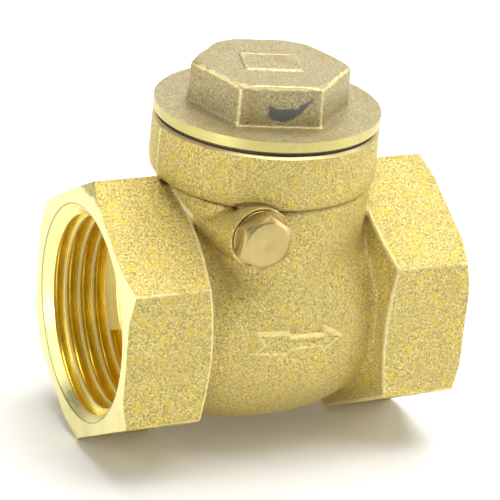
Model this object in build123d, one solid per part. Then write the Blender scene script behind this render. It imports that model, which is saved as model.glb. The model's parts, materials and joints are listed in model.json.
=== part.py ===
from build123d import *
import math
import os

# One-inch female swing check valve, in millimetres.
# +X is the direction of flow, along the pipe axis. +Z is up, along the bonnet's axis.
# The origin is where the two axes cross. The hinge pin runs along Y.

# Pipe thread G 1 (ISO 228) in both ends, bored at its crests
THREAD_MINOR_R = 30.291 / 2
THREAD_DEPTH = 12.4
MOUTH_R = 17.12

# Hexagon ends
BODY_HALF = 28.8
HEX_ACROSS_FLATS = 38.0
HEX_R = HEX_ACROSS_FLATS / math.sqrt(3)
FACE_R = 20.0
FACE_CHAMFER = 0.86
HEX_INNER_X = 15.9
HEX_INNER_SLOPE = 0.357

# Barrel between the hexagons
BARREL_R = 19.0
BARREL_SHOULDER_X = 10.5
BARREL_SHOULDER_R = 17.7
VALLEY_X = 13.4
VALLEY_R = 16.4

# Neck and bonnet boss
NECK_R = 16.9
BOSS_R = 17.7
BOSS_FOOT_Z = 21.4
BOSS_ROUND_Z = 24.6
BOSS_TOP_Z = 30.46

# Hollow inside
CAVITY_R = 16.0
CAVITY_EDGE_R = 14.9
CAVITY_START_X = -12.0
CAVITY_END_X = 13.0
WELL_R = 14.2
WELL_FOOT_Z = 4.0
BULKHEAD_TOP_Z = 13.9
BONNET_THREAD_R = 14.55
BONNET_THREAD_LENGTH = 6.4
OUTLET_R = 13.6

# Seat
SEAT_R = 10.5
SEAT_OUTER_R = 12.0
SEAT_X = -10.6

# Hinge pin
PIN_X = -8.0
PIN_Z = 18.2
PIN_R = 1.5
PIN_RUNNING = 0.05
PIN_FRONT_Y = -13.7
PIN_BACK_Y = 15.0
PIN_HOLE_BACK_Y = 15.3
PIN_CHAMFER = 0.25
EAR_R = 3.3
EAR_Y = 8.0

# Pin plug, its lug and washer
LUG_R = 5.1
LUG_FACE_Y = -17.85
LUG_CHAMFER = 0.2
BACK_LUG_Y = 16.2
BACK_LUG_R = 3.0
BACK_LUG_ROUND = 0.8
SPOT_FACE_R = 4.75
SPOT_FACE_DEPTH = 0.5
PLUG_WASHER_T = 0.6
PLUG_WASHER_R = 4.4
PLUG_THREAD_R = 2.7
PLUG_THREAD_END_Y = -13.9
PLUG_HOLE_SPARE = 0.3
PLUG_POINT = 0.3
PLUG_HEX_AF = 7.8
PLUG_HEX_TURN = 24.3
PLUG_HEAD = 2.6
PLUG_FACE_R = 3.4
PLUG_CROWN_DROP = 0.5
PLUG_CORNER_SPARE = 0.1

# Bonnet cap
FLANGE_R = 17.62
FLANGE_T = 1.75
FLANGE_FOOT_Z = 31.11
FLANGE_CHAMFER = 0.2
CAP_HEX_AF = 22.0
CAP_HEX_TOP_Z = 39.25
CAP_HEX_TURN = 44.2
CAP_FACE_R = 11.6
CAP_CROWN_DROP = 0.75
CAP_SKIRT_END_Z = 25.2
CAP_SKIRT_CHAMFER = 0.6
CAP_BORE_R = 11.7
CAP_BORE_TOP_Z = 30.8
CAP_DOME_R = 7.5
CAP_DOME_Z = 35.0
CAP_BADGE_X = 9.6
CAP_BADGE_Y = 8.0
CAP_BADGE_T = 0.25
CAP_BADGE_TURN = CAP_HEX_TURN - 60

# Bonnet gasket
GASKET_OUTER_R = 17.0
GASKET_INNER_R = 14.75

# Running clearance of the parts that screw together
SCREW_CLEARANCE = 0.06

# How far a cutting shape runs past the face it cuts
PAST = 1.0

# Clapper, listed from the seat towards the outlet
SEAT_GAP = 0.2
RUBBER_R = 12.1
RUBBER_T = 1.8
RUBBER_PROUD = 0.7
RUBBER_CHAMFER = 0.3
HOLDER_R = 12.8
HOLDER_BACK_X = -7.0
HOLDER_CHAMFER = 0.7
STUD_R = 2.5
STUD_END_X = -0.9
STUD_POINT = 0.4
ARM_GAP = 0.2
ARM_T = 2.0
ARM_EYE_R = 5.0
ARM_HOLE_R = 2.58
ARM_HUB_R = 3.0
ARM_HUB_LENGTH = 15.4
ARM_WEB_TOP_HALF = 6.0
STOP_TAIL = 6.8
STOP_TAIL_HALF = 2.5
STOP_TAIL_T = 2.4
STOP_TAIL_ROUND = 1.0
WASHER_R = 4.8
WASHER_T = 0.6
NUT_AF = 8.0
NUT_T = 2.7
NUT_CROWN_DROP = 0.45
FRONT_WASHER_R = 5.0
FRONT_WASHER_T = 0.8
FRONT_WASHER_CHAMFER = 0.2
SCREW_R = 1.25
SCREW_END_X = -3.5
SCREW_HOLE_SPARE = 0.3
SCREW_HEAD_R = 2.8
SCREW_HEAD_T = 1.8
SCREW_HEAD_ROUND = 0.4
SLOT_W = 0.8
SLOT_DEPTH = 0.9

# Flow arrow raised on the barrel
ARROW_Z = 0.65
ARROW_TAIL_X = -7.6
ARROW_NOTCH_X = -6.3
ARROW_STEP_X = -2.0
ARROW_HEAD_X = 3.8
ARROW_TIP_X = 7.3
ARROW_TAIL_HALF = 1.9
ARROW_SHAFT_HALF = 1.1
ARROW_HEAD_HALF = 2.05
ARROW_RELIEF = 0.3

RUBBER_X = SEAT_X + SEAT_GAP
HOLDER_FACE_X = RUBBER_X + RUBBER_T
ARM_FACE_X = HOLDER_BACK_X + ARM_GAP
ARM_BACK_X = ARM_FACE_X + ARM_T
WASHER_X = ARM_BACK_X + ARM_GAP
NUT_X = WASHER_X + WASHER_T


def turned(points, axis):
    """A solid turned about X or Z from (distance along the axis, radius) points."""
    if axis == "X":
        outline = Plane.XY * Polyline(*points, close=True)
        return revolve(make_face(outline), Axis.X, 360)
    outline = Plane.XZ * Polyline(*[(radius, along) for along, radius in points], close=True)
    return revolve(make_face(outline), Axis.Z, 360)


def rod(radius, start, end, axis, centre=(0, 0)):
    """A cylinder from start to end along an axis, with its centre given across that axis."""
    length = end - start
    middle = (start + end) / 2
    if axis == "X":
        return Pos(middle, centre[0], centre[1]) * Rot(0, 90, 0) * Cylinder(radius, length)
    if axis == "Y":
        return Pos(centre[0], middle, centre[1]) * Rot(90, 0, 0) * Cylinder(radius, length)
    return Pos(centre[0], centre[1], middle) * Cylinder(radius, length)


def hex_bar(across_flats, start, end, axis, centre=(0, 0), turn=0.0):
    """A hexagonal bar from start to end along an axis."""
    radius = across_flats / math.sqrt(3)
    bar = extrude(RegularPolygon(radius, 6, rotation=turn), end - start)
    if axis == "X":
        return Pos(start, centre[0], centre[1]) * Rot(0, 90, 0) * bar
    if axis == "Y":
        return Pos(centre[0], end, centre[1]) * Rot(90, 0, 0) * bar
    return Pos(centre[0], centre[1], start) * bar


def hex_end(side):
    """One hexagon pipe end, with a point up and a point down and both its corners turned off."""
    bar = hex_bar(HEX_ACROSS_FLATS, VALLEY_X, BODY_HALF, "X")
    past_r = HEX_R + PAST
    inner_x = HEX_INNER_X - (HEX_R - VALLEY_R) * HEX_INNER_SLOPE
    inner_past_x = HEX_INNER_X + (past_r - HEX_R) * HEX_INNER_SLOPE
    face_slope = FACE_CHAMFER / (HEX_R - FACE_R)
    limit = turned(
        [
            (inner_x, 0),
            (inner_x, VALLEY_R),
            (inner_past_x, past_r),
            (BODY_HALF - (past_r - FACE_R) * face_slope, past_r),
            (BODY_HALF, FACE_R),
            (BODY_HALF, 0),
        ],
        "X",
    )
    end = bar & limit
    return end if side > 0 else mirror(end, Plane.YZ)


def barrel():
    """The round middle of the body: a crowned barrel that falls into a valley beside each hexagon."""
    outline = (
        Polyline((-HEX_INNER_X, 0), (-HEX_INNER_X, VALLEY_R), (-VALLEY_X, VALLEY_R))
        + Line((-VALLEY_X, VALLEY_R), (-BARREL_SHOULDER_X, BARREL_SHOULDER_R))
        + ThreePointArc(
            (-BARREL_SHOULDER_X, BARREL_SHOULDER_R), (0, BARREL_R), (BARREL_SHOULDER_X, BARREL_SHOULDER_R)
        )
        + Line((BARREL_SHOULDER_X, BARREL_SHOULDER_R), (VALLEY_X, VALLEY_R))
        + Polyline((VALLEY_X, VALLEY_R), (HEX_INNER_X, VALLEY_R), (HEX_INNER_X, 0), (-HEX_INNER_X, 0))
    )
    return revolve(make_face(outline), Axis.X, 360)


def neck_and_boss():
    """The upright neck, and the boss that the cap screws into, with a rounded foot."""
    step = BOSS_R - NECK_R
    rise = BOSS_ROUND_Z - BOSS_FOOT_Z
    arc_r = (step**2 + rise**2) / (2 * step)
    half_rise = rise / 2
    middle = BOSS_R - arc_r + math.sqrt(arc_r**2 - half_rise**2)
    outline = (
        Polyline((0, 0), (NECK_R, 0), (NECK_R, BOSS_FOOT_Z))
        + ThreePointArc((NECK_R, BOSS_FOOT_Z), (middle, BOSS_FOOT_Z + half_rise), (BOSS_R, BOSS_ROUND_Z))
        + Polyline((BOSS_R, BOSS_ROUND_Z), (BOSS_R, BOSS_TOP_Z), (0, BOSS_TOP_Z), (0, 0))
    )
    return revolve(make_face(Plane.XZ * outline), Axis.Z, 360)


def pin_lugs():
    """The lug that the plug screws into, in front, and the closed pad behind the pin's far end."""
    front = rod(LUG_R, LUG_FACE_Y, 0, "Y", (PIN_X, PIN_Z))
    front = chamfer(front.faces().sort_by(Axis.Y)[0].edges(), LUG_CHAMFER)
    back = rod(BACK_LUG_R, 0, BACK_LUG_Y, "Y", (PIN_X, PIN_Z))
    back = fillet(back.faces().sort_by(Axis.Y)[-1].edges(), BACK_LUG_ROUND)
    return front + back


def arrow():
    """The raised flow arrow with a notched tail, clipped to stand just proud of the barrel."""
    points = [
        (ARROW_TIP_X, ARROW_Z),
        (ARROW_HEAD_X, ARROW_Z + ARROW_HEAD_HALF),
        (ARROW_HEAD_X, ARROW_Z + ARROW_SHAFT_HALF),
        (ARROW_STEP_X, ARROW_Z + ARROW_SHAFT_HALF),
        (ARROW_STEP_X, ARROW_Z + ARROW_TAIL_HALF),
        (ARROW_TAIL_X, ARROW_Z + ARROW_TAIL_HALF),
        (ARROW_NOTCH_X, ARROW_Z),
        (ARROW_TAIL_X, ARROW_Z - ARROW_TAIL_HALF),
        (ARROW_STEP_X, ARROW_Z - ARROW_TAIL_HALF),
        (ARROW_STEP_X, ARROW_Z - ARROW_SHAFT_HALF),
        (ARROW_HEAD_X, ARROW_Z - ARROW_SHAFT_HALF),
        (ARROW_HEAD_X, ARROW_Z - ARROW_HEAD_HALF),
    ]
    face = make_face(Plane.XZ * Polyline(*points, close=True))
    blank = extrude(face, BARREL_R + PAST, dir=(0, -1, 0))
    skin_r = BARREL_R + ARROW_RELIEF
    shoulder_r = BARREL_SHOULDER_R + ARROW_RELIEF
    profile = ThreePointArc((-BARREL_SHOULDER_X, shoulder_r), (0, skin_r), (BARREL_SHOULDER_X, shoulder_r))
    ends = Polyline(
        (BARREL_SHOULDER_X, shoulder_r), (BARREL_SHOULDER_X, 0), (-BARREL_SHOULDER_X, 0),
        (-BARREL_SHOULDER_X, shoulder_r),
    )
    skin = revolve(make_face(profile + ends), Axis.X, 360)
    return blank & skin


def threaded_socket(side):
    """The space inside one pipe end: the bore at the thread's crests, and its 45 degree mouth."""
    stop_x = BODY_HALF - THREAD_DEPTH
    cut = turned(
        [
            (stop_x, 0),
            (stop_x, THREAD_MINOR_R),
            (BODY_HALF - (MOUTH_R - THREAD_MINOR_R), THREAD_MINOR_R),
            (BODY_HALF + PAST, MOUTH_R + PAST),
            (BODY_HALF + PAST, 0),
        ],
        "X",
    )
    return cut if side > 0 else mirror(cut, Plane.YZ)


def hollow():
    """The chamber: a round cavity on the pipe axis and a well up through the neck."""
    outline = (
        Polyline((CAVITY_START_X, 0), (CAVITY_START_X, CAVITY_EDGE_R))
        + ThreePointArc((CAVITY_START_X, CAVITY_EDGE_R), (0, CAVITY_R), (CAVITY_END_X, CAVITY_EDGE_R))
        + Polyline((CAVITY_END_X, CAVITY_EDGE_R), (CAVITY_END_X, 0), (CAVITY_START_X, 0))
    )
    cavity = revolve(make_face(outline), Axis.X, 360)
    well = rod(WELL_R, WELL_FOOT_Z, BOSS_TOP_Z, "Z")
    depth = BULKHEAD_TOP_Z - WELL_FOOT_Z
    bulkhead_z = WELL_FOOT_Z + depth / 2
    bulkhead = Pos(CAVITY_START_X - WELL_R, 0, bulkhead_z) * Box(2 * WELL_R, 2 * WELL_R, depth)
    thread = rod(BONNET_THREAD_R, BOSS_TOP_Z - BONNET_THREAD_LENGTH, BOSS_TOP_Z + PAST, "Z")
    return cavity + (well - bulkhead) + thread


def valve_body():
    """The forged and machined body."""
    outside = barrel() + neck_and_boss() + hex_end(1) + hex_end(-1) + pin_lugs() + arrow()
    shell = outside - hollow()
    ears = rod(EAR_R, -WELL_R, WELL_R, "Y", (PIN_X, PIN_Z))
    ears = ears - rod(EAR_R + PAST, -EAR_Y, EAR_Y, "Y", (PIN_X, PIN_Z))
    seat_ring = rod(SEAT_OUTER_R, CAVITY_START_X, SEAT_X, "X")
    shell = shell + ears + seat_ring
    shell = shell - threaded_socket(1) - threaded_socket(-1)
    shell = shell - rod(SEAT_R, -BODY_HALF, SEAT_X + PAST, "X") - rod(OUTLET_R, 0, BODY_HALF, "X")
    plug_hole_r = PLUG_THREAD_R + SCREW_CLEARANCE
    plug_hole_end_y = PLUG_THREAD_END_Y + PLUG_HOLE_SPARE
    shell = shell - rod(plug_hole_r, LUG_FACE_Y - PAST, plug_hole_end_y, "Y", (PIN_X, PIN_Z))
    shell = shell - rod(SPOT_FACE_R, LUG_FACE_Y - PAST, LUG_FACE_Y + SPOT_FACE_DEPTH, "Y", (PIN_X, PIN_Z))
    return shell - rod(PIN_R + PIN_RUNNING, LUG_FACE_Y, PIN_HOLE_BACK_Y, "Y", (PIN_X, PIN_Z))


def bonnet_cap():
    """The screwed cap: flange, hexagon with turned corners, threaded skirt, and a hollow inside."""
    flange_top = FLANGE_FOOT_Z + FLANGE_T
    flange = rod(FLANGE_R, FLANGE_FOOT_Z, flange_top, "Z")
    flange = chamfer(flange.faces().sort_by(Axis.Z)[-1].edges(), FLANGE_CHAMFER)
    hexagon = hex_bar(CAP_HEX_AF, flange_top, CAP_HEX_TOP_Z, "Z", turn=CAP_HEX_TURN)
    corner_r = CAP_HEX_AF / math.sqrt(3)
    past_r = corner_r + PAST
    slope = CAP_CROWN_DROP / (corner_r - CAP_FACE_R)
    crown = turned(
        [
            (flange_top, 0),
            (flange_top, past_r),
            (CAP_HEX_TOP_Z - (past_r - CAP_FACE_R) * slope, past_r),
            (CAP_HEX_TOP_Z, CAP_FACE_R),
            (CAP_HEX_TOP_Z, 0),
        ],
        "Z",
    )
    badge = Pos(0, 0, CAP_HEX_TOP_Z + CAP_BADGE_T / 2) * Rot(0, 0, CAP_BADGE_TURN) * Box(
        CAP_BADGE_X, CAP_BADGE_Y, CAP_BADGE_T
    )
    skirt = rod(BONNET_THREAD_R - SCREW_CLEARANCE, CAP_SKIRT_END_Z, FLANGE_FOOT_Z, "Z")
    skirt = chamfer(skirt.faces().sort_by(Axis.Z)[0].edges(), CAP_SKIRT_CHAMFER)
    inside = turned(
        [
            (CAP_SKIRT_END_Z, 0),
            (CAP_SKIRT_END_Z, CAP_BORE_R),
            (CAP_BORE_TOP_Z, CAP_BORE_R),
            (CAP_DOME_Z, CAP_DOME_R),
            (CAP_DOME_Z, 0),
        ],
        "Z",
    )
    return flange + (hexagon & crown) + badge + skirt - inside


def bonnet_gasket():
    """The flat ring between the boss and the cap's flange."""
    ring = rod(GASKET_OUTER_R, BOSS_TOP_Z, FLANGE_FOOT_Z, "Z")
    return ring - rod(GASKET_INNER_R, BOSS_TOP_Z, FLANGE_FOOT_Z, "Z")


def hinge_pin():
    """The plain shaft, with its ends broken."""
    pin = rod(PIN_R, PIN_FRONT_Y, PIN_BACK_Y, "Y", (PIN_X, PIN_Z))
    ends = pin.faces().sort_by(Axis.Y)
    return chamfer(ends[0].edges() + ends[-1].edges(), PIN_CHAMFER)


def plug_foot_y():
    """Where the plug's washer starts, on the spot face."""
    return LUG_FACE_Y + SPOT_FACE_DEPTH


def pin_plug_washer():
    """The flat sealing ring under the plug's head."""
    face = plug_foot_y()
    ring = rod(PLUG_WASHER_R, face - PLUG_WASHER_T, face, "Y", (PIN_X, PIN_Z))
    return ring - rod(PLUG_THREAD_R + SCREW_CLEARANCE, face - PLUG_WASHER_T, face, "Y", (PIN_X, PIN_Z))


def pin_plug():
    """The hexagon plug that closes the pin's hole."""
    foot = plug_foot_y() - PLUG_WASHER_T
    top = foot - PLUG_HEAD
    head = hex_bar(PLUG_HEX_AF, top, foot, "Y", (PIN_X, PIN_Z), turn=PLUG_HEX_TURN)
    past_r = PLUG_HEX_AF / math.sqrt(3) + PLUG_CORNER_SPARE
    limit = turned(
        [(0, 0), (0, PLUG_FACE_R), (PLUG_CROWN_DROP, past_r), (PLUG_HEAD, past_r), (PLUG_HEAD, 0)], "Z"
    )
    limit = Pos(PIN_X, top, PIN_Z) * Rot(-90, 0, 0) * limit
    shank = rod(PLUG_THREAD_R, foot, PLUG_THREAD_END_Y, "Y", (PIN_X, PIN_Z))
    shank = chamfer(shank.faces().sort_by(Axis.Y)[-1].edges(), PLUG_POINT)
    return (head & limit) + shank


def swing_arm():
    """Hub on the pin, tapering web, round eye for the disc's stud, and a stop tail above the hub."""
    hub = rod(ARM_HUB_R, -ARM_HUB_LENGTH / 2, ARM_HUB_LENGTH / 2, "Y", (PIN_X, PIN_Z))
    web_outline = Polyline(
        (-ARM_WEB_TOP_HALF, PIN_Z), (ARM_WEB_TOP_HALF, PIN_Z), (ARM_EYE_R, 0), (-ARM_EYE_R, 0), close=True
    )
    web = extrude(Pos(ARM_FACE_X, 0, 0) * make_face(Plane.YZ * web_outline), ARM_T, dir=(1, 0, 0))
    eye = rod(ARM_EYE_R, ARM_FACE_X, ARM_BACK_X, "X")
    tail_z = PIN_Z + STOP_TAIL / 2
    tail = Pos(PIN_X, 0, tail_z) * Box(STOP_TAIL_T, 2 * STOP_TAIL_HALF, STOP_TAIL)
    tail = fillet(tail.faces().sort_by(Axis.Z)[-1].edges().filter_by(Axis.Y), STOP_TAIL_ROUND)
    arm = hub + web + eye + tail
    arm = arm - rod(ARM_HOLE_R, ARM_FACE_X - PAST, ARM_BACK_X + PAST, "X")
    return arm - rod(PIN_R + PIN_RUNNING, -ARM_HUB_LENGTH, ARM_HUB_LENGTH, "Y", (PIN_X, PIN_Z))


def disc_holder():
    """The brass disc: a shallow cup for the rubber, with the stud on its back."""
    cup = rod(HOLDER_R, RUBBER_X + RUBBER_PROUD, HOLDER_BACK_X, "X")
    cup = chamfer(cup.faces().sort_by(Axis.X)[-1].edges(), HOLDER_CHAMFER)
    pocket = rod(RUBBER_R, RUBBER_X, HOLDER_FACE_X, "X")
    stud = rod(STUD_R, HOLDER_BACK_X, STUD_END_X, "X")
    stud = chamfer(stud.faces().sort_by(Axis.X)[-1].edges(), STUD_POINT)
    return cup - pocket + stud - rod(SCREW_R, HOLDER_FACE_X - PAST, SCREW_END_X + SCREW_HOLE_SPARE, "X")


def seat_disc():
    """The rubber facing."""
    disc = rod(RUBBER_R, RUBBER_X, HOLDER_FACE_X, "X")
    disc = chamfer(disc.faces().sort_by(Axis.X)[0].edges(), RUBBER_CHAMFER)
    return disc - rod(SCREW_R, RUBBER_X - PAST, HOLDER_FACE_X + PAST, "X")


def seat_disc_washer():
    """The washer on the inlet side that clamps the rubber."""
    face_x = RUBBER_X - FRONT_WASHER_T
    washer = rod(FRONT_WASHER_R, face_x, RUBBER_X, "X")
    washer = chamfer(washer.faces().sort_by(Axis.X)[0].edges(), FRONT_WASHER_CHAMFER)
    return washer - rod(SCREW_R, face_x - PAST, RUBBER_X + PAST, "X")


def seat_disc_screw():
    """The slotted screw through the washer and the rubber into the holder."""
    foot = RUBBER_X - FRONT_WASHER_T
    head = rod(SCREW_HEAD_R, foot - SCREW_HEAD_T, foot, "X")
    head = fillet(head.faces().sort_by(Axis.X)[0].edges(), SCREW_HEAD_ROUND)
    slot_x = foot - SCREW_HEAD_T + SLOT_DEPTH / 2
    slot = Pos(slot_x, 0, 0) * Box(SLOT_DEPTH, 3 * SCREW_HEAD_R, SLOT_W)
    shank = rod(SCREW_R, foot, SCREW_END_X, "X")
    return head - slot + shank


def arm_washer():
    """The washer on the stud, behind the arm."""
    washer = rod(WASHER_R, WASHER_X, NUT_X, "X")
    return washer - rod(STUD_R, WASHER_X - PAST, NUT_X + PAST, "X")


def arm_nut():
    """The hexagon nut on the stud, with its outer corners turned off."""
    corner_r = NUT_AF / math.sqrt(3)
    end_x = NUT_X + NUT_T
    bar = hex_bar(NUT_AF, NUT_X, end_x, "X")
    crown_x = end_x - NUT_CROWN_DROP
    limit = turned(
        [(NUT_X, 0), (NUT_X, corner_r), (crown_x, corner_r), (end_x, NUT_AF / 2), (end_x, 0)], "X"
    )
    return (bar & limit) - rod(STUD_R, NUT_X - PAST, end_x + PAST, "X")


NODES = {
    "valve_body": valve_body,
    "bonnet_cap": bonnet_cap,
    "bonnet_gasket": bonnet_gasket,
    "hinge_pin": hinge_pin,
    "pin_plug": pin_plug,
    "pin_plug_washer": pin_plug_washer,
    "swing_arm": swing_arm,
    "disc_holder": disc_holder,
    "seat_disc": seat_disc,
    "seat_disc_washer": seat_disc_washer,
    "seat_disc_screw": seat_disc_screw,
    "arm_washer": arm_washer,
    "arm_nut": arm_nut,
}

os.makedirs("parts", exist_ok=True)
for name, build in NODES.items():
    export_step(build(), f"parts/{name}.step")
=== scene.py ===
"""One-inch brass swing check valve: its looks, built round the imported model.

Lengths in this file are millimetres until a mesh is made. X is the pipe axis with the flow towards
+X, Z is the bonnet's axis, and the hinge pin runs along Y.
"""
import json
import math

import bmesh
import bpy
import numpy as np
from mathutils import Matrix, Vector


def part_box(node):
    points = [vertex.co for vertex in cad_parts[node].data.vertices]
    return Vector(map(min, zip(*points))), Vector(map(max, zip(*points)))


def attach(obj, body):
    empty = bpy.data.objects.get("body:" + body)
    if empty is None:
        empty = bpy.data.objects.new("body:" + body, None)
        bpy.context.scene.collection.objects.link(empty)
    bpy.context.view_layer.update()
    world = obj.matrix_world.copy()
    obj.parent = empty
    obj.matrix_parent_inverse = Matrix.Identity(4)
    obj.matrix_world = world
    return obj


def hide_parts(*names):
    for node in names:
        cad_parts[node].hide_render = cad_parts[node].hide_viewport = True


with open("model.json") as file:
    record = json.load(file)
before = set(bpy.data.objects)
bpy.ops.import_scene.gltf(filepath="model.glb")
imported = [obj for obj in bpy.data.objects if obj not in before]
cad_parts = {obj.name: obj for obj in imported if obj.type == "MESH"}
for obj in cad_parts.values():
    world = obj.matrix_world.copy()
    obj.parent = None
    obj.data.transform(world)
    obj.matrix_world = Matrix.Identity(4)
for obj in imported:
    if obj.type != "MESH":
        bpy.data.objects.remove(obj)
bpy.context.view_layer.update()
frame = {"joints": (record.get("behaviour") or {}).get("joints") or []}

MM = 0.001


def node_box(node):
    """A CAD node's lowest and highest corners, in millimetres."""
    low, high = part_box(node)
    return np.array(low) / MM, np.array(high) / MM


def joint_point(name):
    """Where a joint's axis passes, in millimetres."""
    joint = next(j for j in frame["joints"] if j["name"] == name)
    return np.array(joint["pos_m"]) / MM


BODY_LOW, BODY_HIGH = node_box("valve_body")
CAP_LOW, CAP_HIGH = node_box("bonnet_cap")
GASKET_LOW, GASKET_HIGH = node_box("bonnet_gasket")
PLUG_LOW, PLUG_HIGH = node_box("pin_plug")
PLUG_RING_LOW, PLUG_RING_HIGH = node_box("pin_plug_washer")
ARM_LOW, ARM_HIGH = node_box("swing_arm")
NUT_LOW, NUT_HIGH = node_box("arm_nut")
HOLDER_LOW, HOLDER_HIGH = node_box("disc_holder")
PIN_X, _, PIN_Z = joint_point("clapper_swing")
PIN_AT = PIN_X, 0, PIN_Z

BODY_HALF = BODY_HIGH[0]
BOSS_TOP_Z = GASKET_LOW[2]
FLANGE_FOOT_Z = GASKET_HIGH[2]
SPOT_FACE_Y = PLUG_RING_HIGH[1]

# Hexagon ends
HEX_FLAT = 19.0
HEX_R = HEX_FLAT * 2 / math.sqrt(3)
HEX_INNER_X = 15.9
HEX_INNER_SLOPE = 0.357
FACE_R = 20.0
FACE_CHAMFER_SLOPE = 0.86 / (HEX_R - FACE_R)
STOCK_PAST = 0.8

# Pipe thread G 1
THREAD_PITCH = 25.4 / 11
THREAD_MAJOR_R = 33.249 / 2
THREAD_MINOR_R = 30.291 / 2
SOCKET_STOP_X = 16.4
MOUTH_R = 17.12
CREST_X = -25.44
CREST_ANGLE = math.radians(-15)

# Barrel, neck and boss
BARREL_R = 19.0
BARREL_SHOULDER_X = 10.5
BARREL_SHOULDER_R = 17.7
VALLEY_X = 13.4
VALLEY_R = 16.4
NECK_R = 16.9
NECK_SLIM = 0.6
BOSS_FOOT_R = 17.15
BOSS_R = 17.75
BOSS_FOOT_Z = 21.75
BOSS_ROUND_Z = 24.6
BOSS_RIM_R = 17.6

# The flow arrow
ARROW_BOX = (-8.6, -21, -2.0), (8.6, -15, 3.5)
ARROW_REACH = 8.5
ARROW_HEIGHT = 0.5
ARROW_OUTLINE = [
    (7.4, 0.8), (3.9, 2.75), (3.75, 1.6), (-1.9, 1.85), (-2.2, 2.5), (-7.5, 2.6),
    (-6.3, 0.7), (-7.8, -1.0), (-2.2, -1.35), (-1.6, -0.55), (3.3, -0.45), (3.7, -1.5),
]

# Hollow inside
CAVITY_R = 16.0
CAVITY_EDGE_R = 14.9
CAVITY_START_X = -12.0
CAVITY_END_X = 13.0
WELL_R = 14.2
WELL_FOOT_Z = 4.0
BULKHEAD_TOP_Z = 13.9
OUTLET_R = 13.6
SEAT_R = 10.5
SEAT_OUTER_R = 12.0
SEAT_X = -10.6

# Bonnet thread M30 x 1.5
BONNET_PITCH = 1.5
BONNET_MAJOR_R = 15.0
BONNET_MINOR_R = 14.2
BONNET_CLEARANCE = 0.1

# Pin plug, thread M6 x 1
LUG_R = 4.9
SPOT_FACE_FRONT = 17.85
BACK_LUG_R = 3.0
BACK_LUG_Y = 16.2
EAR_R = 3.3
EAR_Y = 8.0
SPOT_FACE_R = 4.65
PLUG_HOLE_R = 2.76
PLUG_HOLE_END_Y = -13.6
PIN_HOLE_R = 1.55
PIN_HOLE_END_Y = 15.3

# Cap and gasket
CAP_HEX_FLAT = 11.0
CAP_HEX_TURN = math.radians(44.2)
CAP_HEX_TOP_Z = 39.25
CAP_FACE_R = 11.6
CAP_CROWN_SLOPE = 0.68
FLANGE_R = CAP_HIGH[0]
FLANGE_TOP_Z = FLANGE_FOOT_Z + 1.75
SKIRT_END_Z = CAP_LOW[2]
CAP_BORE_R = 11.7
CAP_BORE_TOP_Z = 30.8
CAP_DOME_R = 7.5
CAP_DOME_Z = 35.0
BADGE_TURN = CAP_HEX_TURN - math.radians(60)
BADGE_HALF = 4.8, 4.0
# The bluish mark on the cap's front flat, and the grey smear in the inlet's mouth
MARK_FACING = math.radians(-15.8)
MARK_ACROSS = 0.3
MARK_UP = 34.7
SMEAR_AT = -28.2, 2.6, -15.9

# Pin plug's hexagon
PLUG_HEX_FLAT = 3.9
PLUG_HEX_TURN = math.radians(24.3)
PLUG_FACE_R = 3.4
PLUG_CROWN_DROP = 0.72

# Clapper
ARM_FACE_X = -6.8
ARM_BACK_X = ARM_HIGH[0]
ARM_EYE_R = 5.0
ARM_HUB_R = 3.0
ARM_HUB_HALF = ARM_HIGH[1]
ARM_WEB_TOP_HALF = 6.0
STUD_R = 2.5
RUBBER_X = HOLDER_LOW[0] - 0.7
RUBBER_R = 12.1

# Studio and camera, in metres
SKY = 0.28
BACKDROP = 3.6
LAMPS = {
    "top_light": ((0.09, -0.04, 0.62), 0.6, 4.3),
    "left_light": ((-0.60, 0.12, 0.20), 0.4, 0.9),
    "right_light": ((0.52, -0.20, 0.20), 0.4, 1.2),
    "low_light": ((-0.05, -0.62, 0.03), 0.3, 0.2),
    "end_light": ((-0.55, -0.27, 0.07), 0.25, 0.95),
}
CAMERA_AZIMUTH = math.radians(26.52)
CAMERA_ELEVATION = math.radians(23.05)
CAMERA_ROLL = math.radians(5.4)
CAMERA_DISTANCE = 0.41504
CAMERA_TARGET = (0.00075, 0.00277, 0.00659)
CAMERA_LENS = 187.7


# ---------------------------------------------------------------- mesh tools


def smooth_min(a, b, k):
    """The lesser of two fields, blended over a band k wide."""
    h = np.clip(0.5 + 0.5 * (b - a) / k, 0.0, 1.0)
    return b + (a - b) * h - k * h * (1.0 - h)


def smooth_max(a, b, k):
    """The greater of two fields, blended over a band k wide."""
    return -smooth_min(-a, -b, k)


def mesh_object(name, verts, faces, material):
    """A mesh object from points in millimetres."""
    mesh = bpy.data.meshes.new(name)
    mesh.from_pydata((np.asarray(verts, dtype=float) * MM).tolist(), [], faces)
    mesh.update()
    piece = bpy.data.objects.new(name, mesh)
    bpy.context.scene.collection.objects.link(piece)
    mesh.materials.append(material)
    return piece


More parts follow.
